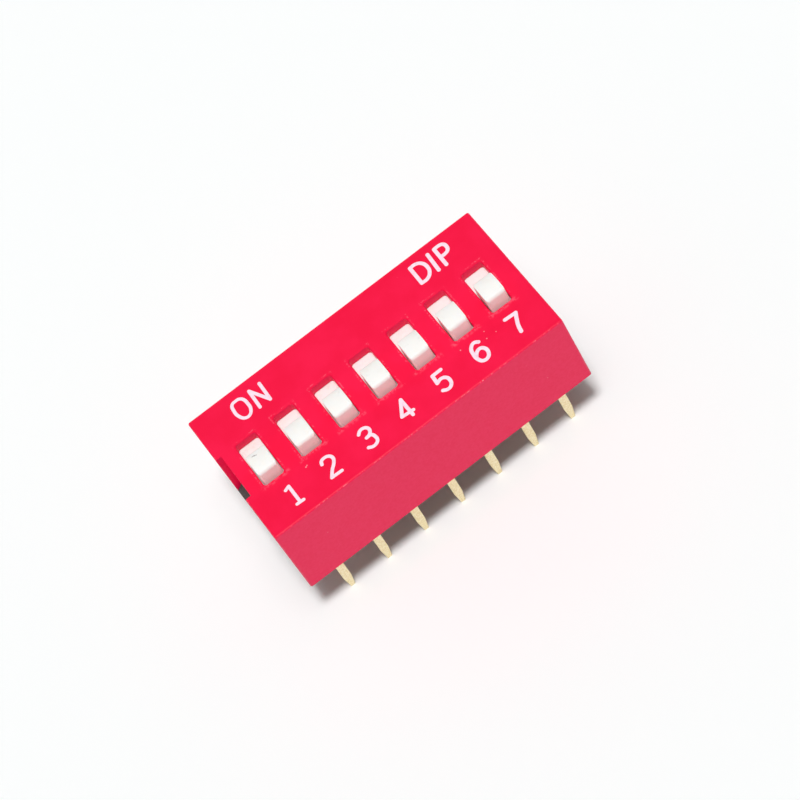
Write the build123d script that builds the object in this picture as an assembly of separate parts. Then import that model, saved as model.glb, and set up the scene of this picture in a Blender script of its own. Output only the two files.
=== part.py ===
"""Slide-type DIP switch with seven positions, for a 2.54 mm board grid.

X runs along the positions from 1 to 7, Y from the numbered side to the ON side and Z up.
The origin is the middle of the pin pattern on the seating plane, where the cover's rim
meets the board. Millimetres.
"""

import os

from build123d import *

# Positions and board grid
positions = 7
pitch = 2.54

# Cover: outside, walls and edges
end_margin = 0.66
cover_width = 9.5
cover_height = 5.8
top_wall = 0.6
side_wall = 0.6
end_wall = 0.85
outer_round = 0.12
cavity_round = 0.2

# Slots in the cover's top
slot_width = 1.33
slot_length = 3.27
slot_corner = 0.18
slot_bevel = 0.06

# Recess, sill and window in each end wall, which the base's latch fills
recess_width = 3.2
recess_depth = 0.37
recess_roof = 1.2
latch_rise = 0.45
latch_slope = 0.35
latch_lip = 0.25
arm_height = 0.6
window_height = 0.7
latch_gap = 0.05

# Barb of the latch
barb_width = 2.0
barb_reach = 0.3

# Base: floor, ribs between the positions and moulding marks below
base_lift = 0.25
floor_top = 2.3
base_gap = 0.05
rib_setback = 0.7
ejector_radius = 0.55
ejector_depth = 0.08
gate_radius = 0.45

# Sliders: plate below the cover, knob in the slot and cheeks beside the contact
slider_width = 1.8
side_gap = 0.07
top_gap = 0.05
floor_gap = 0.1
plate_height = 0.6
plate_lap = 0.12
knob_width = 1.22
knob_length = 1.72
knob_rise = 0.95
knob_crest = 0.2
knob_shoulder = 0.68
knob_lean = 0.06
knob_crown = 0.12
knob_round = 0.24
knob_back_round = 0.1
knob_corner = 0.26
knob_end_gap = 0.1
pocket_width = 1.1

# Bridging contacts: spring strip, feet and the peg that holds the strip
strip_thickness = 0.1
strip_width = 0.9
strip_bend = 0.16
foot_span = 2.9
foot_length = 0.3
toe_reach = 0.2
toe_rise = 0.25
seat_length = 1.2
seat_height = 1.0
wipe_gap = 0.03
peg_width = 0.36
peg_gap = 0.02
peg_head_width = 0.6
peg_head_height = 0.1
peg_head_taper = 35

# Terminals: one stamped and bent strip for each pin
sheet = 0.25
sheet_bend = 0.22
row_gap = 0.215
terminal_gap = 0.02
pad_width = 1.3
pad_margin = 0.35
wipe_length = 0.67
stem_width = 0.9
shoulder_height = 0.55
pin_width = 0.5
pin_length = 3.7
tip_length = 1.1
tip_width = 0.28
tip_thickness = 0.14

# Cutters run past what they cut by this much
overrun = 1.0

# Sizes that follow from those above
cover_length = positions * pitch + 2 * end_margin
ceiling = cover_height - top_wall
cavity_length = cover_length - 2 * end_wall
cavity_width = cover_width - 2 * side_wall
# The two rows stand just inside the side walls, three steps of the board grid apart.
row_spacing = cavity_width - 2 * row_gap - sheet
recess_face = cover_length / 2 - recess_depth
travel = slot_length - knob_length - 2 * knob_end_gap
rest_offset = -travel / 2
tab_top = floor_top + latch_rise
sill_top = tab_top - latch_lip - window_height
plate_top = ceiling - top_gap
seat = floor_top + seat_height
foot_height = floor_top + wipe_gap + strip_thickness / 2
strip_reach = foot_span / 2 + foot_length / 2 + toe_reach
# At OFF the rear foot stands on the plastic in the middle, and at ON on the rear pad.
strip_offset = -foot_span / 2
front_pad_end = strip_offset + travel - foot_span / 2 + pad_margin
rear_pad_end = strip_offset + travel + foot_span / 2 - wipe_length
rib_thickness = pitch - slider_width - 2 * side_gap


def place(position):
    """X of a position's centre line, counted from 1."""
    return (position - (positions + 1) / 2) * pitch


def block(x_range, y_range, z_range):
    """Straight block between two corners."""
    sizes = [high - low for low, high in (x_range, y_range, z_range)]
    centre = [(low + high) / 2 for low, high in (x_range, y_range, z_range)]
    return Pos(*centre) * Box(*sizes)


def side_profile(*points):
    """Closed outline of (y, z) points on the plane across X."""
    return Plane.YZ * make_face(Polyline(*points, close=True))


def bent_strip(points, bend, thickness, width):
    """Strip of sheet that follows a line of (y, z) points, with every corner bent round."""
    line = FilletPolyline(*points, radius=bend)
    section = Plane.YZ * trace(line, thickness)
    return extrude(section, amount=width / 2, both=True)


def make_cover():
    """Moulded box, open below, with the slots in its top and a latch recess in each end."""
    shell = block(
        (-cover_length / 2, cover_length / 2),
        (-cover_width / 2, cover_width / 2),
        (0, cover_height),
    )
    upright = shell.edges().filter_by(Axis.Z)
    rim = shell.faces().sort_by(Axis.Z)[-1].edges()
    shell = fillet(upright + rim, outer_round)

    cavity = block(
        (-cavity_length / 2, cavity_length / 2),
        (-cavity_width / 2, cavity_width / 2),
        (-overrun, ceiling),
    )
    shell -= fillet(cavity.edges().filter_by(Axis.Z), cavity_round)

    for position in range(1, positions + 1):
        shell -= Pos(place(position), 0, ceiling) * make_slot()

    for end in (-1, 1):
        shell -= make_end_openings(end)
    return shell


def make_slot():
    """Cutter for one slot, from the cavity's ceiling up, with a bevel at its mouth."""
    opening = RectangleRounded(slot_width, slot_length, slot_corner)
    straight = extrude(Plane.XY.offset(-top_wall / 2) * opening, amount=2 * top_wall)
    mouth = Plane.XY.offset(top_wall) * RectangleRounded(
        slot_width + 2 * slot_bevel, slot_length + 2 * slot_bevel, slot_corner + slot_bevel
    )
    bevel = extrude(mouth, amount=-slot_bevel, taper=45)
    return straight + bevel


def make_end_openings(end):
    """Cutter for one end: the recess, the way in for the latch's arm and the barb's window.

    The recess beside position 1 runs out through the top, and the other has a roof.
    """
    outside = cover_length / 2 + overrun
    recess_top = cover_height + overrun if end < 0 else cover_height - recess_roof
    through_wall = sorted((end * (cavity_length / 2 - overrun), end * outside))
    recess = block(
        sorted((end * recess_face, end * outside)),
        (-recess_width / 2, recess_width / 2),
        (-overrun, recess_top),
    )
    arm_way = block(
        through_wall,
        (-recess_width / 2, recess_width / 2),
        (-overrun, base_lift + arm_height + latch_gap),
    )
    window = block(
        through_wall,
        (-barb_width / 2 - latch_gap, barb_width / 2 + latch_gap),
        (sill_top, sill_top + window_height),
    )
    return recess + arm_way + window


def make_base():
    """Black moulding: floor with the terminals' seats, ribs between sliders, end latches."""
    half_length = cavity_length / 2 - base_gap
    half_width = cavity_width / 2 - base_gap
    base = block(
        (-half_length, half_length), (-half_width, half_width), (base_lift, floor_top)
    )
    base = fillet(base.edges().filter_by(Axis.Z), cavity_round)

    for gap in range(1, positions):
        middle = (place(gap) + place(gap + 1)) / 2
        base += block(
            (middle - rib_thickness / 2, middle + rib_thickness / 2),
            (rib_setback - half_width, half_width - rib_setback),
            (floor_top, ceiling),
        )

    for position in range(1, positions + 1):
        for row, pad_end in ((-1, front_pad_end), (1, rear_pad_end)):
            base -= Pos(place(position), 0, 0) * make_terminal(row, pad_end, terminal_gap)

    for end in (-1, 1):
        base += make_latch(end)
    return base - make_moulding_marks()


def make_latch(end):
    """Arm below the cover's end wall, the tab that fills the recess, and its barb."""
    half_tab = recess_width / 2 - latch_gap
    inner = cavity_length / 2 - base_gap - cavity_round
    profile = Polyline(
        (inner, base_lift),
        (cover_length / 2, base_lift),
        (cover_length / 2, tab_top - latch_slope),
        (recess_face, tab_top),
        (recess_face, base_lift + arm_height),
        (inner, base_lift + arm_height),
        close=True,
    )
    tab = extrude(Plane.XZ * make_face(profile), amount=half_tab, both=True)
    barb_top = sill_top + window_height - latch_gap
    wedge = Polyline(
        (recess_face, sill_top),
        (recess_face - barb_reach, sill_top),
        (recess_face, barb_top),
        close=True,
    )
    barb = extrude(Plane.XZ * make_face(wedge), amount=barb_width / 2, both=True)
    latch = tab + barb
    return latch if end > 0 else latch.mirror(Plane.YZ)


def make_moulding_marks():
    """Shallow round marks that the ejector pins and the gate leave on the base's underside."""
    depth = base_lift + ejector_depth
    marks = [
        Pos(side * place(positions - 1), 0, depth / 2) * Cylinder(ejector_radius, depth)
        for side in (-1, 1)
    ]
    gate = Pos(0, 0, depth / 2) * Cylinder(gate_radius, depth)
    return Part() + marks + gate


def make_terminal(row, pad_end, grow=0.0):
    """Terminal of one row on X = 0; grow widens it all round into the cutter for its seat."""
    pin_y = row * row_spacing / 2
    pad_z = floor_top - sheet / 2
    strip = bent_strip(
        [(pad_end - row * grow, pad_z), (pin_y, pad_z), (pin_y, -pin_length)],
        sheet_bend,
        sheet + 2 * grow,
        pad_width + 2 * grow,
    )
    terminal = strip & make_blank(grow)
    return terminal if grow else terminal - make_tip_wedges(pin_y)


def make_blank(grow):
    """Outline of the blank seen along Y: pad, stem with shoulders, pin and tapered tip."""
    neck = floor_top - 2 * sheet
    half = [
        (pad_width / 2 + grow, floor_top + overrun),
        (pad_width / 2 + grow, neck),
        (stem_width / 2 + grow, neck - (pad_width - stem_width) / 2),
        (stem_width / 2 + grow, shoulder_height - grow),
        (pin_width / 2 + grow, shoulder_height - grow),
        (pin_width / 2 + grow, tip_length - pin_length),
        (tip_width / 2 + grow, -pin_length),
    ]
    outline = half + [(-x, z) for x, z in reversed(half)]
    face = Plane.XZ * make_face(Polyline(*outline, close=True))
    return extrude(face, amount=cover_width / 2, both=True)


def make_tip_wedges(pin_y):
    """What coining takes off the two broad faces of a pin towards its tip."""
    wedges = Part()
    for side in (-1, 1):
        wedges += extrude(
            side_profile(
                (pin_y + side * sheet / 2, tip_length - pin_length),
                (pin_y + side * sheet, -pin_length),
                (pin_y + side * tip_thickness / 2, -pin_length),
            ),
            amount=pin_width,
            both=True,
        )
    return wedges


def make_slider():
    """White actuator on X = 0 at rest: plate below the cover, knob, cheeks and staked peg."""
    cheek_half = strip_reach
    plate = block(
        (-slider_width / 2, slider_width / 2),
        (-slot_length / 2 - travel - plate_lap, slot_length / 2 + plate_lap),
        (plate_top - plate_height, plate_top),
    )
    body = block(
        (-slider_width / 2, slider_width / 2),
        (strip_offset - cheek_half, strip_offset + cheek_half),
        (floor_top + floor_gap, plate_top - plate_height),
    )
    pocket = block(
        (-pocket_width / 2, pocket_width / 2),
        (strip_offset - 2 * cheek_half, strip_offset + 2 * cheek_half),
        (floor_top, seat),
    )
    return plate + (body - pocket) + make_knob() + make_peg()


def make_knob():
    """Raised grip that the slot guides: its top rises from a low back to a crest in front."""
    middle = rest_offset
    half = knob_length / 2
    low = plate_top - plate_height / 2
    high = cover_height + knob_rise
    outline = Polyline(
        (middle - half + knob_lean, high - knob_crown),
        (middle - half, plate_top),
        (middle - half, low),
        (middle + half, low),
        (middle + half, plate_top),
        (middle + half - knob_lean, cover_height + knob_shoulder),
    )
    crown = ThreePointArc(outline @ 1, (middle - knob_crest, high), outline @ 0)
    face = Plane.YZ * make_face(outline + crown)
    profile = extrude(face, amount=knob_width, both=True)
    across = profile.edges().filter_by(Axis.X).group_by(Axis.Z)
    profile = fillet(across[-2], knob_back_round)
    front_edge = profile.edges().filter_by(Axis.X).group_by(Axis.Z)[-1]
    profile = fillet(front_edge, knob_round)
    plan = Pos(0, middle, low) * RectangleRounded(knob_width, knob_length, knob_corner)
    return profile & extrude(plan, amount=high)


def make_peg():
    """Peg under the slider, staked over after the contact is threaded on."""
    below = seat - strip_thickness
    half = peg_width / 2
    shank = block((-half, half), (strip_offset - half, strip_offset + half), (below, seat))
    foot = Plane((0, strip_offset, below)) * Rectangle(peg_head_width, peg_head_width)
    return shank + extrude(foot, amount=-peg_head_height, taper=peg_head_taper)


def make_contact():
    """Bridging contact on X = 0 at rest: seat under the slider, two arms, two curled feet."""
    seat_z = seat - strip_thickness / 2
    half = [
        (seat_length / 2, seat_z),
        (foot_span / 2 - foot_length / 2, foot_height),
        (foot_span / 2 + foot_length / 2, foot_height),
        (strip_reach, foot_height + toe_rise),
    ]
    points = [(-y, z) for y, z in reversed(half)] + half
    strip = bent_strip(points, strip_bend, strip_thickness, strip_width)
    hole_width = peg_width + 2 * peg_gap
    hole = Pos(0, 0, seat_z) * Box(hole_width, hole_width, 2 * strip_thickness)
    return Pos(0, strip_offset, 0) * (strip - hole)


def main():
    nodes = {"cover": make_cover(), "base": make_base()}
    slider, contact = make_slider(), make_contact()
    front, rear = make_terminal(-1, front_pad_end), make_terminal(1, rear_pad_end)
    for position in range(1, positions + 1):
        at = Pos(place(position), 0, 0)
        nodes[f"slider_{position}"] = at * slider
        nodes[f"contact_{position}"] = at * contact
        nodes[f"front_terminal_{position}"] = at * front
        nodes[f"rear_terminal_{position}"] = at * rear

    os.makedirs("parts", exist_ok=True)
    for name, shape in nodes.items():
        export_step(shape, f"parts/{name}.step")
        print(name, round(shape.volume, 3), "mm3")
    print("travel", round(travel, 3), "mm")


main()
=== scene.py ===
# %% [markdown]
# # A seven-position DIP switch
#
# The switch is a red moulded cover over a black base, with seven white sliders in slots and
# two rows of gold-plated pins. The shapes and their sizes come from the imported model, which
# is the fixed frame. This lesson gives them the finish of the real parts: broken edges,
# moulded plastic, plated metal, printed marks, and the light of a plain tabletop picture.

import math

import bmesh
import bpy
from mathutils import Matrix, Vector


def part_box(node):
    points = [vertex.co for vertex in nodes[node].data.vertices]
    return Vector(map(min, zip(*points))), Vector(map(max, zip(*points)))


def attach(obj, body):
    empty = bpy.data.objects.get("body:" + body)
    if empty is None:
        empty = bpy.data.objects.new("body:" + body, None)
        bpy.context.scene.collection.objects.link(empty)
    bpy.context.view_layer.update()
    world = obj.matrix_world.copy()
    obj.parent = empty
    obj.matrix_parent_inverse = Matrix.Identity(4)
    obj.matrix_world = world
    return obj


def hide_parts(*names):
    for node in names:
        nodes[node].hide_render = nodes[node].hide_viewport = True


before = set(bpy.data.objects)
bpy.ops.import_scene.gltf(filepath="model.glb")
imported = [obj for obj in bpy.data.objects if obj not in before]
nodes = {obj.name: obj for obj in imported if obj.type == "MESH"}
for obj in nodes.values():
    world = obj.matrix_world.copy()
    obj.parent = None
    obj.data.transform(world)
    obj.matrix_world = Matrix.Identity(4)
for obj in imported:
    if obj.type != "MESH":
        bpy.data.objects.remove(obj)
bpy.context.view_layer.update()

# %% [markdown]
# Every size below is written in millimetres and turned into metres with `mm`. The few sizes
# that the finishing work needs are read off the nodes, so that nothing is typed twice. The
# cover's box gives its outside, and the spacing of two neighbouring sliders gives the pitch.

# %% Sizes read off the frame
mm = 0.001
positions = sum(name.startswith("slider_") for name in nodes)
cover_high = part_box("cover")[1] / mm
pitch = (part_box("slider_2")[0].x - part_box("slider_1")[0].x) / mm
pin_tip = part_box("front_terminal_1")[0].z / mm
top = cover_high.z
print(f"{positions} positions, pitch {pitch:.2f} mm, cover top {top:.2f} mm, tips {pin_tip:.2f} mm")

# %% [markdown]
# A node graph is easier to read as a sum than as a web of boxes. `Wire` wraps one output
# socket, and its operators add Math nodes, so `1 - mask * 0.3` builds the nodes it says. The
# reflected forms, such as `__rsub__`, let a plain number stand on the left.


# %% Shader maths as Python
class Wire:
    """One output socket that takes part in Python arithmetic."""

    def __init__(self, graph, socket):
        self.graph, self.socket = graph, socket

    def maths(self, operation, *values):
        sockets = dict(enumerate(values))
        return self.graph.node("ShaderNodeMath", {"operation": operation}, sockets)[0]

    def __add__(self, other):
        return self.maths("ADD", self, other)

    def __sub__(self, other):
        return self.maths("SUBTRACT", self, other)

    def __rsub__(self, other):
        return self.maths("SUBTRACT", other, self)

    def __mul__(self, other):
        return self.maths("MULTIPLY", self, other)

    def __truediv__(self, other):
        return self.maths("DIVIDE", self, other)

    def __neg__(self):
        return self * -1

    def __abs__(self):
        return self.maths("ABSOLUTE", self)

    def least(self, other):
        return self.maths("MINIMUM", self, other)

    def most(self, other):
        return self.maths("MAXIMUM", self, other)

    def above(self, low, high):
        """0 below low, 1 above high, and a smooth step between them."""
        settings = {"interpolation_type": "SMOOTHSTEP"}
        sockets = {"Value": self, "From Min": low, "From Max": high}
        return self.graph.node("ShaderNodeMapRange", settings, sockets)["Result"]

    __radd__ = __add__


# %% [markdown]
# `Graph` holds a node tree and adds every node through one method: its type, its settings and
# the values or links of its sockets. A material, a Geometry Nodes tree and the world are all
# node trees, so one class serves them, and each kind only adds what it needs of its own. The
# paper and the world both ask which kind of ray has found them, so that question is here too.


# %% One way to add a node
class Made:
    """A node whose outputs are read by name or number, as wires."""

    def __init__(self, graph, node):
        self.graph, self.node = graph, node

    def __getitem__(self, key):
        return Wire(self.graph, self.node.outputs[key])


class Graph:
    """A node tree that is filled through one method."""

    def __init__(self, tree):
        self.tree = tree
        self.tree.nodes.clear()

    def node(self, kind, settings=None, sockets=None):
        added = self.tree.nodes.new(kind)
        for name, value in (settings or {}).items():
            setattr(added, name, value)
        for key, value in (sockets or {}).items():
            self.feed(added.inputs[key], value)
        return Made(self, added)

    def feed(self, socket, value):
        if isinstance(value, Wire):
            self.tree.links.new(value.socket, socket)
        else:
            socket.default_value = value

    def background_rays(self):
        """1 for the rays that should find the plain background: seen, mirrored or let through."""
        rays = self.node("ShaderNodeLightPath")
        return rays["Is Camera Ray"].most(rays["Is Glossy Ray"]).most(rays["Is Transmission Ray"])


# %% [markdown]
# A finish is a material with one Principled shader. The patterns read Object coordinates in
# millimetres, because every piece sits at the origin with its place in its mesh. So a grain
# of 0.1 mm is 0.1 mm on every piece, and no pattern slides when a piece moves.


# %% The start of every finish
class Finish(Graph):
    """A material: object coordinates in millimetres and a Principled shader to feed."""

    def __init__(self, name, fixed):
        self.material = bpy.data.materials.new(name)
        self.material.use_nodes = True
        super().__init__(self.material.node_tree)
        shader = self.node("ShaderNodeBsdfPrincipled")
        self.inputs = shader.node.inputs
        for key, value in fixed.items():
            self.inputs[key].default_value = value
        self.node("ShaderNodeOutputMaterial", None, {"Surface": shader[0]})
        place = self.node("ShaderNodeTexCoord")["Object"]
        scaled = {0: place, "Scale": 1 / mm}
        self.place = self.node("ShaderNodeVectorMath", {"operation": "SCALE"}, scaled)[0]
        split = self.node("ShaderNodeSeparateXYZ", None, {0: self.place})
        self.x, self.y, self.z = split["X"], split["Y"], split["Z"]
        normal = self.node("ShaderNodeNewGeometry")["Normal"]
        self.facing = self.node("ShaderNodeSeparateXYZ", None, {0: normal})

    def noise(self, size, detail=2.0, seed=0.0):
        """Noise from 0 to 1 with lumps of about this size in millimetres."""
        sockets = {"Vector": self.place, "W": seed, "Scale": 1 / size, "Detail": detail}
        return self.node("ShaderNodeTexNoise", {"noise_dimensions": "4D"}, sockets)[0]

    def blend(self, mask, first, second):
        """The first colour where the mask is 0 and the second where it is 1."""
        factor, a, b, result = 0, 6, 7, 2
        sockets = {factor: mask, a: first, b: second}
        return self.node("ShaderNodeMix", {"data_type": "RGBA"}, sockets)[result]

    def specks(self, spots):
        """1 inside each round speck and 0 outside; a spot is its x, y, z and radius."""
        mask = None
        for *spot, radius in spots:
            sockets = {0: self.place, 1: spot}
            away = self.node("ShaderNodeVectorMath", {"operation": "DISTANCE"}, sockets)["Value"]
            dot = 1 - away.above(radius * 0.6, radius)
            mask = dot if mask is None else mask.most(dot)
        return mask

    def relief(self, height, depth):
        """Feeds the shader's normal with a height from 0 to 1, of this depth in millimetres."""
        sockets = {"Height": height, "Distance": depth * mm, "Strength": 1.0}
        self.feed(self.inputs["Normal"], self.node("ShaderNodeBump", None, sockets)[0])

    def colour(self, value):
        self.feed(self.inputs["Base Color"], value)

    def roughness(self, value):
        self.feed(self.inputs["Roughness"], value)

    def describe(self):
        print(self.material.name, "nodes:", len(self.tree.nodes))


def linear(red, green, blue):
    """A colour as a picture shows it, 0 to 255, turned into the linear one a shader wants."""
    shown = (c / 255 for c in (red, green, blue))
    return (*((c / 12.92 if c < 0.04045 else ((c + 0.055) / 1.055) ** 2.4) for c in shown), 1)


# %% [markdown]
# Scuffs and a painted rim highlight go round the slots. Their outline at the cover's top is
# read from the imported cover, from the top's corners that lie nearest to the middle slider.

# %% Where the middle slot is
tolerance, rim = 0.001, 1.0
slot_points = [
    v.co / mm
    for v in nodes["cover"].data.vertices
    if v.co.z > (top - tolerance) * mm and abs(v.co.x) < pitch / 2 * mm
]
slot_points = [p for p in slot_points if abs(p.y) < cover_high.y - rim]
slot_half_width = max(p.x for p in slot_points)
slot_half_length = max(p.y for p in slot_points)
row_half = positions * pitch / 2
print(f"slot mouth {2 * slot_half_width:.2f} by {2 * slot_half_length:.2f} mm")

# %% [markdown]
# The cover is moulded in a red that is bright and only faintly glossy. The mould's surface
# leaves a very fine grain, and the colour is not quite even. The outer walls get a paler, bluer
# red as a painted sheen, and the walls inside the slots a deeper red as painted shade.
# An outer edge is found from the coordinates: near it, two of the three distances to the
# outside of the box are small at once. A painted highlight lies along it, in grains.

# %% Red moulded plastic
red = Finish("red_plastic", {"Specular IOR Level": 0.16})
to_side = cover_high.x - abs(red.x)
to_front = cover_high.y - abs(red.y)
to_top = top - red.z
mottle = red.noise(1.6, 3, seed=2.0).above(0.3, 0.7)
base = red.blend(mottle, linear(245, 11, 65), linear(250, 20, 73))
upright = 1 - abs(red.facing[2]).above(0.3, 0.8)
sheen_mottle = red.noise(0.16, 3, seed=6.0).above(0.3, 0.7)
inside = to_side.least(to_front).above(0.03, 0.06)
# Painted sheen: the outer walls get a paler, bluer red than the top.
painted_wall_sheen = red.blend(sheen_mottle, linear(249, 40, 88), linear(252, 49, 98))
base = red.blend(upright, base, painted_wall_sheen)
# Painted shade: the walls inside the slots and the end recess get a deeper red.
base = red.blend(upright * inside, base, linear(240, 5, 80))
# Painted highlight: pale grains along the cover's outer edges.
nearest_two = to_side.least(to_front).most(to_side.most(to_front).least(to_top))
grains = red.noise(0.14, 3).above(0.5, 0.62) * red.noise(0.8, 2, seed=4.0).above(0.3, 0.6)
edge_highlight = (1 - nearest_two.above(0.02, 0.07)) * grains
base = red.blend(edge_highlight * 0.55, base, linear(255, 176, 190))

# %% [markdown]
# Each slider's screwdriver has scuffed its slot: paler smudges lie just beyond the end to which
# the sliders were pushed last. A thin, broken line round the mouth is a painted highlight of
# the slot's rim. The distance from the nearest slot is worked out once, because a ping-pong
# wave folds the row onto itself.

# %% Scuffs and painted rim highlight round the slots
half_pitch = pitch / 2
wave = {0: red.x + half_pitch, 1: half_pitch}
folded = red.node("ShaderNodeMath", {"operation": "PINGPONG"}, wave)[0]
from_slot = (half_pitch - folded - slot_half_width).most(abs(red.y) - slot_half_length)
on_top = red.z.above(top - 0.1, top - 0.05) * (1 - abs(red.x).above(row_half - 0.1, row_half))
line_away, past_end = 0.06, 0.12
ring = 1 - abs(from_slot - line_away).above(0.02, 0.06)
gaps = red.noise(0.7, 1, seed=10.0).above(0.4, 0.55)
broken = red.noise(0.12, 3, seed=9.0).above(0.46, 0.6) * gaps
at_pushed_end = 1 - abs(red.y + slot_half_length + past_end).above(0.08, 0.26)
pushed = at_pushed_end * (1 - from_slot.above(0.1, 0.3))
smudged = red.noise(0.2, 4, seed=11.0).above(0.44, 0.6)
# The ring round each mouth is a painted highlight; the smudges beyond the pushed end are scuffs.
scuffs_and_rim_highlight = (ring * broken).most(pushed * smudged) * on_top
base = red.blend(scuffs_and_rim_highlight * 0.34, base, linear(255, 130, 155))

# %% [markdown]
# Dust and a few nicks finish the cover. Fine dust is a cloud of cells, of which a slow noise
# keeps only some. The nicks that the picture shows are put in by their places.

# %% Dust and nicks on the cover
cells = {"Vector": red.place, "Scale": 1.1, "Randomness": 1.0}
from_seed = red.node("ShaderNodeTexVoronoi", None, cells)["Distance"]
crumbs = 1 - from_seed.above(0.03, 0.055)
rare = red.noise(1.3, 0, seed=5.0).above(0.6, 0.64)
nicks = red.specks(
    [
        (4.25, -cover_high.y, top, 0.07),
        (5.85, -2.73, top, 0.05),
        (5.98, -2.26, top, 0.04),
        (4.37, -2.31, top, 0.05),
        (6.47, -2.73, top, 0.04),
        (-5.93, -2.29, top, 0.06),
        (-5.84, -2.24, top, 0.05),
    ]
)
base = red.blend(crumbs * rare * 0.4, base, linear(255, 150, 165))
red.colour(red.blend(nicks * 0.5, base, linear(255, 190, 200)))
red.roughness(0.36 + red.noise(0.7, 3, seed=7.0) * 0.12)
red.relief(red.noise(0.06, 2) * 0.7 + red.noise(0.5, 2, seed=3.0) * 0.3, 0.003)
red.describe()

# %% [markdown]
# The sliders are a warm white and let a little light through, which softens their shaded
# sides. Fingers and screwdriver tips leave faint grey smudges on the knobs, and one of them
# carries a small dark scratch. Smudges show only where two noises agree, which leaves most of
# each knob clean. The scratch is a short bar, turned by about 20 degrees and broken by noise.

# %% White moulded plastic
white = Finish(
    "white_plastic",
    {
        "Specular IOR Level": 0.3,
        "Subsurface Weight": 0.35,
        "Subsurface Radius": (1.0, 0.85, 0.75),
        "Subsurface Scale": 0.12 * mm,
    },
)
cloud = white.noise(0.8, 3).above(0.45, 0.75)
base = white.blend(cloud, linear(254, 253, 249), linear(250, 248, 242))
agreed = white.noise(0.9, 1, seed=8.0).above(0.5, 0.66)
smudge = white.noise(0.35, 4, seed=3.0).above(0.55, 0.72) * agreed
base = white.blend(smudge * 0.3, base, linear(196, 186, 176))
scratch_middle, half_length, half_width = (-7.76, -0.28), 0.17, 0.05
turn_cosine, turn_sine = 0.94, 0.34
scratch_x, scratch_y = white.x - scratch_middle[0], white.y - scratch_middle[1]
along = abs(scratch_x * turn_cosine - scratch_y * turn_sine) / half_length
across = abs(scratch_x * turn_sine + scratch_y * turn_cosine) / half_width
scratch = (1 - along.most(across).above(0.5, 1.3)) * white.z.above(top, top + 0.1)
scratch = scratch * white.noise(0.07, 2, seed=4.0).above(0.3, 0.6)
white.colour(white.blend(scratch * 0.75, base, linear(96, 84, 84)))
white.roughness(0.42 + white.noise(0.4, 3, seed=6.0) * 0.16)
white.relief(white.noise(0.09, 3), 0.004)
white.describe()

# %% [markdown]
# The base is black, glass-filled and duller than the cover. Short fibres at its surface make
# it slightly grey and uneven. A fine noise shows that in both the colour and the relief.

# %% Black moulded plastic
black = Finish("black_plastic", {"Specular IOR Level": 0.45})
fibre = black.noise(0.12, 3).above(0.4, 0.7)
black.colour(black.blend(fibre, linear(56, 47, 48), linear(72, 61, 60)))
black.roughness(0.55 + black.noise(0.5, 2, seed=2.0) * 0.15)
black.relief(fibre * 0.6 + black.noise(0.03, 2, seed=4.0) * 0.4, 0.006)
black.describe()

# %% [markdown]
# The pins are stamped from sheet and plated with a thin pale gold. The plating follows every
# pore of the stamping, so it glints in grains and is nowhere a mirror. The contacts inside
# are the same plating over rolled spring strip, which is smoother and a deeper yellow.


# %% Gold plating, grainy on the pins and smoother on the springs
def gold_plating(name, light, dark, grain, rough):
    """Plated metal whose grain has this size in millimetres."""
    gold = Finish(name, {"Metallic": 1.0})
    flecks = gold.noise(grain, 3).above(0.35, 0.7)
    gold.colour(gold.blend(flecks, linear(*dark), linear(*light)))
    gold.roughness(rough + gold.noise(grain * 3, 2, seed=3.0) * 0.2)
    gold.relief(gold.noise(grain * 0.8, 2, seed=5.0), 0.005)
    return gold


pin_gold = gold_plating("pin_gold", (246, 239, 210), (232, 218, 171), 0.1, 0.42)
spring_gold = gold_plating("spring_gold", (240, 214, 150), (222, 190, 120), 0.25, 0.25)
for gold in (pin_gold, spring_gold):
    gold.describe()

# %% [markdown]
# The ink of the marks is pressed on hot and lies as a thin film. It is white, but so thin
# that the red comes through as a trace of pink, more so where the film is worn.

# %% White ink
ink = Finish("white_ink", {"Specular IOR Level": 0.3, "Roughness": 0.45})
thin = ink.noise(0.25, 4).above(0.45, 0.8)
ink.colour(ink.blend(thin, linear(255, 232, 246), linear(250, 208, 226)))
ink.relief(ink.noise(0.08, 2), 0.003)
ink.describe()

# %% [markdown]
# Moulded and stamped parts never have knife edges. `merged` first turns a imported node's
# loose triangles into joined, clean faces, because a bevel can only follow an edge that two
# faces share. `soften` then gives each finished piece a small live Bevel. A Weighted Normal
# modifier after it lets the large faces decide how the light turns at an edge, so that they
# stay flat and only the edge itself catches the light.


# %% Clean copies and broken edges
def merged(node):
    """A new mesh with the node's shape, its loose triangles joined and its flats dissolved."""
    shape = bmesh.new()
    shape.from_mesh(nodes[node].data)
    bmesh.ops.remove_doubles(shape, verts=shape.verts, dist=0.0005 * mm)
    flat = math.radians(1)
    bmesh.ops.dissolve_limit(shape, angle_limit=flat, verts=shape.verts, edges=shape.edges)
    mesh = bpy.data.meshes.new(node + "_shape")
    shape.to_mesh(mesh)
    shape.free()
    mesh.materials.clear()
    return mesh


def soften(piece, width, segments=2, angle=28):
    """Breaks every edge sharper than the angle, with this width in millimetres."""
    piece.data.shade_smooth()
    bevel = piece.modifiers.new("broken_edges", "BEVEL")
    bevel.width = width * mm
    bevel.segments = segments
    bevel.limit_method = "ANGLE"
    bevel.angle_limit = math.radians(angle)
    piece.modifiers.new("flat_faces", "WEIGHTED_NORMAL").weight = 100
    return piece


def add_piece(name, mesh, finish=None):
    """An object at the origin that shows this mesh."""
    piece = bpy.data.objects.new(name, mesh)
    bpy.context.scene.collection.objects.link(piece)
    if finish:
        mesh.materials.append(finish.material)
    return piece


# %% [markdown]
# The cover and the base are one piece each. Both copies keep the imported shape, ride on the
# housing and stand for their nodes.

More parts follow.
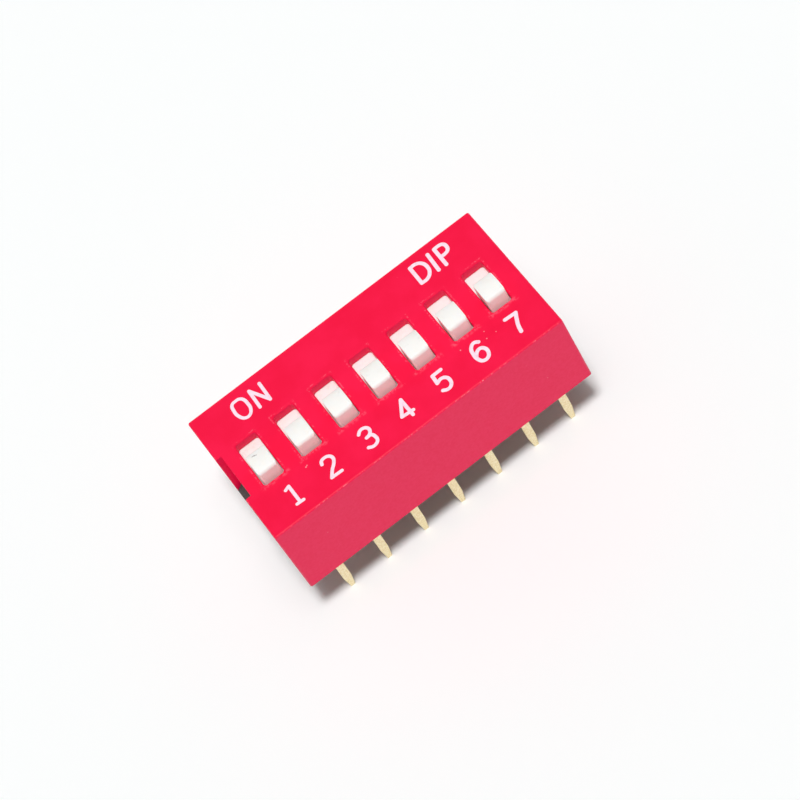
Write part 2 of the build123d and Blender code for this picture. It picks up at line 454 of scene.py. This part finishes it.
# %% Cover and base
for node, finish, slot_name, width in (
    ("cover", red, "cover_red", 0.03),
    ("base", black, "base_black", 0.02),
):
    piece = soften(add_piece(node + "_moulding", merged(node), finish), width)
    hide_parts(node)
    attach(piece, "housing")
    print(piece.name, "faces:", len(piece.data.polygons))

# %% [markdown]
# Sliders, contacts and pins repeat seven times at one pitch. A Geometry Nodes tree makes the
# row: a line of points, one finished blank on each. Sliders and contacts each move by
# themselves, so the tree also has a Picked input, and one run keeps only the copy at that
# point. The tree ends in Realize Instances and Set Material, which leaves a plain mesh.


# %% The tree that repeats a blank along the row
class Recipe(Graph):
    """A Geometry Nodes tree with named inputs."""

    def __init__(self, name, **inputs):
        self.group = bpy.data.node_groups.new(name, "GeometryNodeTree")
        super().__init__(self.group)
        for key, kind in {"Geometry": "NodeSocketGeometry", **inputs}.items():
            self.group.interface.new_socket(key, in_out="INPUT", socket_type=kind)
        self.group.interface.new_socket(
            "Geometry", in_out="OUTPUT", socket_type="NodeSocketGeometry"
        )
        self.given = self.node("NodeGroupInput")

    def finish_with(self, geometry, finish):
        """Ends the tree: real geometry, its material, and the output."""
        real = self.node("GeometryNodeRealizeInstances", None, {0: geometry})[0]
        sockets = {"Geometry": real, "Material": finish}
        painted = self.node("GeometryNodeSetMaterial", None, sockets)[0]
        self.node("NodeGroupOutput", None, {0: painted})

    def run(self, name, source, **values):
        """The mesh that the tree makes of a source object, which is then removed."""
        piece = bpy.data.objects.new(name, source)
        bpy.context.scene.collection.objects.link(piece)
        modifier = piece.modifiers.new("recipe", "NODES")
        modifier.node_group = self.group
        for socket in self.group.interface.items_tree:
            if socket.in_out == "INPUT" and socket.name in values:
                modifier[socket.identifier] = values[socket.name]
        shown = piece.evaluated_get(bpy.context.evaluated_depsgraph_get())
        mesh = bpy.data.meshes.new_from_object(shown)
        bpy.data.objects.remove(piece)
        mesh.name = name
        return mesh


row = Recipe(
    "row_of_copies",
    Count="NodeSocketInt",
    Pitch="NodeSocketFloat",
    Picked="NodeSocketInt",
    Finish="NodeSocketMaterial",
)
pitch_in = row.given["Pitch"]
half_row = (row.given["Count"] - 1) * 0.5
start = row.node("ShaderNodeCombineXYZ", None, {"X": -(half_row * pitch_in)})[0]
step = row.node("ShaderNodeCombineXYZ", None, {"X": pitch_in})[0]
line = row.node(
    "GeometryNodeMeshLine",
    {"mode": "OFFSET"},
    {"Count": row.given["Count"], "Start Location": start, "Offset": step},
)[0]
index = row.node("GeometryNodeInputIndex")[0]
same = {"data_type": "INT", "operation": "EQUAL"}
compare = row.node("FunctionNodeCompare", same, {2: index, 3: row.given["Picked"]})
copies = row.node(
    "GeometryNodeInstanceOnPoints",
    None,
    {"Points": line, "Selection": compare[0], "Instance": row.given["Geometry"]},
)[0]
row.finish_with(copies, row.given["Finish"])
sockets = row.group.interface.items_tree
print(row.group.name, "inputs:", [s.name for s in sockets if s.in_out == "INPUT"])

# %% [markdown]
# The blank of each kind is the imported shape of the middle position, which stands at X = 0.
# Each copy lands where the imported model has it, so every piece can stand for its own node.

# %% Sliders, contacts and pins
middle = (positions + 1) // 2
for kind, finish, slot_name, width, body in (
    ("slider", white, "slider_white", 0.03, "actuator_{}"),
    ("contact", spring_gold, "contact_gold", 0.01, "actuator_{}"),
    ("front_terminal", pin_gold, "pin_gold", 0.025, "housing"),
    ("rear_terminal", pin_gold, "pin_gold", 0.025, "housing"),
):
    blank = merged(f"{kind}_{middle}")
    for position in range(1, positions + 1):
        node = f"{kind}_{position}"
        mesh = row.run(
            node + "_finished",
            blank,
            Count=positions,
            Pitch=pitch * mm,
            Picked=position - 1,
            Finish=finish.material,
        )
        piece = soften(add_piece(node + "_finished", mesh), width)
        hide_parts(node)
        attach(piece, body.format(position))
    print(kind, "faces each:", len(mesh.polygons), "materials:", len(mesh.materials))

# %% [markdown]
# The marks are drawn with a round pen: the words ON and DIP, and a number under each slot.
# Every mark is a few strokes. A straight stroke runs from corner to corner and a bent one is
# a smooth curve through its points, all in millimetres from the mark's own middle. The print
# sits a little askew on the real cover, so each mark has its own place. It also comes out a
# little thinner at the left, as with a pen pressed less hard: each point has a pressure, which
# is kept as its radius.

# %% The strokes of the marks
straight, bent = "POLY", "BEZIER"
o_left = (-0.02, 0.67), (-0.33, 0.61), (-0.46, 0.2), (-0.43, -0.25), (-0.2, -0.62)
o_right = (0.08, -0.65), (0.32, -0.39), (0.38, 0.05), (0.32, 0.44), (0.14, 0.64), (-0.02, 0.67)
d_bowl = (-0.37, 0.65), (0.0, 0.645), (0.29, 0.45), (0.415, 0.04), (0.295, -0.4), (0.0, -0.62)
p_bowl = (-0.3, 0.66), (0.02, 0.67), (0.25, 0.58), (0.33, 0.32), (0.24, 0.07), (0.02, -0.02)
two_hook = (-0.34, 0.41), (-0.26, 0.6), (-0.03, 0.67), (0.23, 0.58), (0.34, 0.34), (0.23, 0.06)
three_top = (-0.3, 0.5), (-0.14, 0.65), (0.09, 0.67), (0.28, 0.53), (0.31, 0.3), (0.17, 0.11)
three_low = (0.22, 0.03), (0.34, -0.23), (0.31, -0.5), (0.13, -0.64), (-0.09, -0.65), (-0.31, -0.54)
five_bowl = (0.0, 0.14), (0.26, 0.02), (0.35, -0.28), (0.22, -0.59), (-0.04, -0.67), (-0.3, -0.54)
six_back = (0.27, 0.55), (0.05, 0.68), (-0.23, 0.53), (-0.36, 0.12), (-0.34, -0.33), (-0.16, -0.61)
six_loop = (0.14, -0.61), (0.33, -0.36), (0.3, 0.0), (0.08, 0.16), (-0.17, 0.06), (-0.32, -0.14)
seven_stem = (0.34, 0.58), (0.14, 0.16), (0.0, -0.2), (-0.08, -0.6)
strokes = {
    "O": [(bent, *o_left, *o_right)],
    "N": [(straight, (-0.38, -0.64), (-0.34, 0.66), (0.32, -0.63), (0.36, 0.66))],
    "D": [(straight, (-0.38, -0.63), (-0.37, 0.65)), (bent, *d_bowl, (-0.38, -0.63))],
    "I": [(straight, (-0.03, -0.64), (0.03, 0.64))],
    "P": [(straight, (-0.31, -0.65), (-0.3, 0.66)), (bent, *p_bowl, (-0.3, -0.02))],
    "1": [
        (straight, (-0.26, 0.5), (0.0, 0.6), (0.0, -0.62)),
        (straight, (-0.21, -0.64), (0.21, -0.66)),
    ],
    "2": [
        (bent, *two_hook, (-0.06, -0.24), (-0.35, -0.64)),
        (straight, (-0.35, -0.64), (0.31, -0.66)),
    ],
    "3": [(bent, *three_top, (-0.07, 0.04)), (bent, (-0.02, 0.04), *three_low)],
    "4": [(straight, (0.09, -0.6), (0.06, 0.64), (-0.45, -0.3), (0.26, -0.365))],
    "5": [
        (straight, (0.31, 0.62), (-0.25, 0.61), (-0.29, 0.04)),
        (bent, (-0.29, 0.04), *five_bowl),
    ],
    "6": [(bent, *six_back, *six_loop)],
    "7": [(straight, (-0.35, 0.62), (0.34, 0.58)), (bent, *seven_stem)],
}
places = {
    "O": (-6.68, 3.31),
    "N": (-5.51, 3.31),
    "D": (5.5, 3.38),
    "I": (6.31, 3.41),
    "P": (7.1, 3.41),
    "1": (-7.29, -3.2),
    "2": (-4.85, -3.2),
    "3": (-2.38, -3.19),
    "4": (0.16, -3.16),
    "5": (2.58, -3.15),
    "6": (5.12, -3.13),
    "7": (7.58, -3.1),
}
pressure_in_middle, pressure_per_mm = 0.965, 0.009


def pen_path(curve, kind, points, place):
    """Adds one stroke to a curve; a straight stroke gets a spline for each of its runs."""
    spots = [((place[0] + x) * mm, (place[1] + y) * mm, top * mm) for x, y in points]
    runs = [spots] if kind == bent else [spots[i : i + 2] for i in range(len(spots) - 1)]
    for run in runs:
        spline = curve.splines.new(kind)
        if kind == bent:
            spline.bezier_points.add(len(run) - 1)
            for point, spot in zip(spline.bezier_points, run):
                point.co = spot
                point.handle_left_type = point.handle_right_type = "AUTO"
        else:
            spline.points.add(len(run) - 1)
            for point, spot in zip(spline.points, run):
                point.co = (*spot, 1)
        for point in spline.bezier_points or spline.points:
            point.radius = pressure_in_middle + pressure_per_mm * place[0]


pen_line = bpy.data.curves.new("pen_line", "CURVE")
pen_line.dimensions = "3D"
for mark, parts in strokes.items():
    for kind, *points in parts:
        pen_path(pen_line, kind, points, places[mark])
print("marks:", len(strokes), "strokes:", len(pen_line.splines))

# %% [markdown]
# A second tree lays the ink. It resamples the strokes and sweeps a small circle along them,
# scaled by the pressure. A ball on every end lets the strokes finish round and meet without a
# notch. Where two strokes meet, two balls fall on each other and would shade each other grey,
# so doubled corners are merged. Last, all is flattened to the thickness of the film, about the
# cover's top, so half of the film's swell lies in the plastic, as a pressed mark does.

# %% Ink from strokes
pen = Recipe(
    "pressed_ink",
    Width="NodeSocketFloat",
    Thickness="NodeSocketFloat",
    Height="NodeSocketFloat",
    Finish="NodeSocketMaterial",
)
width = pen.given["Width"]
lines = pen.node(
    "GeometryNodeResampleCurve",
    {"mode": "LENGTH"},
    {"Curve": pen.given["Geometry"], "Length": width * 0.25},
)
pen_radius = width * 0.5
circle = {"Resolution": 12, "Radius": pen_radius}
tip = pen.node("GeometryNodeCurvePrimitiveCircle", None, circle)[0]
pressure = pen.node("GeometryNodeInputRadius")[0]
sockets = {"Curve": lines[0], "Profile Curve": tip, "Scale": pressure}
swept = pen.node("GeometryNodeCurveToMesh", None, sockets)[0]
ends = pen.node("GeometryNodeCurveEndpointSelection", None, {"Start Size": 1, "End Size": 1})[0]
round_end = {"Segments": 16, "Rings": 8, "Radius": pen_radius}
ball = pen.node("GeometryNodeMeshUVSphere", None, round_end)[0]
strokes_in = pen.given["Geometry"]
sockets = {"Points": strokes_in, "Selection": ends, "Instance": ball, "Scale": pressure}
balls = pen.node("GeometryNodeInstanceOnPoints", None, sockets)[0]
balls = pen.node("GeometryNodeRealizeInstances", None, {0: balls})[0]
sockets = {"Geometry": balls, "Distance": width * 0.001}
single = pen.node("GeometryNodeMergeByDistance", None, sockets)[0]
both = pen.node("GeometryNodeJoinGeometry")
for part in (swept, single):
    pen.feed(both.node.inputs[0], part)
ratio = pen.given["Thickness"] / width
sink = pen.given["Height"] * (1 - ratio)
flat = pen.node(
    "GeometryNodeTransform",
    None,
    {
        "Geometry": both[0],
        "Translation": pen.node("ShaderNodeCombineXYZ", None, {"Z": sink})[0],
        "Scale": pen.node("ShaderNodeCombineXYZ", None, {"X": 1.0, "Y": 1.0, "Z": ratio})[0],
    },
)[0]
pen.finish_with(flat, pen.given["Finish"])
mesh = pen.run(
    "printed_marks",
    pen_line,
    Width=0.225 * mm,
    Thickness=0.03 * mm,
    Height=top * mm,
    Finish=ink.material,
)
marks = add_piece("printed_marks", mesh)
mesh.shade_smooth()
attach(marks, "housing")
print("ink triangles:", sum(len(face.vertices) - 2 for face in mesh.polygons))

# %% [markdown]
# The picture was taken on a sheet of white paper. The floor is white to the camera and to
# mirrored rays, and a little greyer to the light that bounces off it, so that the switch
# isn't flooded from below. The white has a trace less red, which evens out the red light that
# the walls throw on it. The floor touches the tips of the pins and keeps the shadow.

# %% Paper floor
paper = Finish("paper", {"Specular IOR Level": 0.1, "Roughness": 0.9})
seen = paper.background_rays()
bounced, shown = (0.91, 0.91, 0.91, 1), (0.972, 0.995, 1.0, 1)
paper.colour(paper.blend(seen, bounced, shown))
half_side = 1.5
sheet = bmesh.new()
bmesh.ops.create_grid(sheet, x_segments=1, y_segments=1, size=half_side)
bmesh.ops.translate(sheet, verts=sheet.verts, vec=(0, 0, pin_tip * mm))
mesh = bpy.data.meshes.new("paper_floor")
sheet.to_mesh(mesh)
sheet.free()
add_piece("paper_floor", mesh, paper)
print(f"paper {2 * half_side:.0f} m wide, at {pin_tip:.2f} mm")

# %% [markdown]
# The main lamp stands high and a little in front: its shadow stays under the body and its
# edge is fairly crisp. Two weak lamps beside it soften the shadow's ends, and the white
# ceiling adds a wide, soft light from above. The world fills the rest: a little from all
# round, more from the sides, the left and the front, and most from behind. Together they give
# about the level at which white paper shows as white. The camera and mirrored rays find the
# world as a plain white background in place of that light.


# %% Light
def hang_lamp(name, level, spread, forward=0.0, leftward=0.0):
    """A far lamp that lights level ground by this level; its angles are in degrees."""
    lamp = bpy.data.lights.new(name, "SUN")
    lamp.angle = math.radians(spread)
    lamp.energy = level * math.pi
    hung = bpy.data.objects.new(name, lamp)
    hung.rotation_euler = (math.radians(forward), math.radians(-leftward), 0)
    bpy.context.scene.collection.objects.link(hung)


hang_lamp("main_lamp", 0.67, 10.0, forward=16.8, leftward=1)
for side in (-1, 1):
    hang_lamp("side_lamp", 0.05, 10.0, forward=14, leftward=9 * side)
hang_lamp("ceiling", 0.065, 50)

world = bpy.data.worlds.new("studio")
bpy.context.scene.world = world
world.use_nodes = True
sky = Graph(world.node_tree)
toward = sky.node("ShaderNodeTexCoord")["Generated"]
split = sky.node("ShaderNodeSeparateXYZ", None, {0: toward})
sideways, behind = split["X"], split["Y"]
in_front, at_back, at_left = (-behind).most(0.0), behind.most(0.0), (-sideways).most(0.0)
even, side_share, front_share, left_share, back_share = 0.035, 0.27, 0.1, 0.12, 0.55
around = even + sideways * sideways * side_share + in_front * in_front * front_share
around = around + at_left * at_left * left_share + at_back * at_back * back_share
background = 0.985
seen = sky.background_rays()
level = around * (1 - seen) + seen * background
glow = sky.node("ShaderNodeBackground", None, {"Color": (1, 0.98, 0.94, 1), "Strength": level})
sky.node("ShaderNodeOutputWorld", None, {"Surface": glow[0]})
print("lamps:", len(bpy.data.lights), "world nodes:", len(sky.tree.nodes))

# %% [markdown]
# The camera stands where the photographer's did. Its direction, its roll and its distance
# follow from the corners of the cover, the slots and the pins as the picture shows them. The
# back vector points from the switch to the camera, and the roll turns the picture about it.

# %% Camera
azimuth, elevation, roll = (math.radians(a) for a in (-5.184, 55.076, 32.924))
distance, aside, down_by = 196.315, -0.525, -0.037
focal_pixels, picture_pixels = 3622.057, 800
aim = Vector((0, 0, 2.8))
back = Vector(
    (
        math.sin(azimuth) * math.cos(elevation),
        -math.cos(azimuth) * math.cos(elevation),
        math.sin(elevation),
    )
)
level_right = (-back).cross(Vector((0, 0, 1))).normalized()
level_down = (-back).cross(level_right)
right = math.cos(roll) * level_right + math.sin(roll) * level_down
down = -math.sin(roll) * level_right + math.cos(roll) * level_down
spot = (aim + back * distance - right * aside - down * down_by) * mm
lens = bpy.data.cameras.new("camera")
lens.sensor_width = 36
lens.lens = focal_pixels / picture_pixels * lens.sensor_width
lens.clip_start, lens.clip_end = 0.001, 20
camera = bpy.data.objects.new("camera", lens)
turn = Matrix((right, -down, back)).transposed().to_4x4()
camera.matrix_world = Matrix.Translation(spot) @ turn
bpy.context.scene.collection.objects.link(camera)
bpy.context.scene.camera = camera
bpy.context.scene.view_settings.view_transform = "Standard"
print("lens", round(lens.lens, 1), "mm, camera at", [round(c, 4) for c in spot])
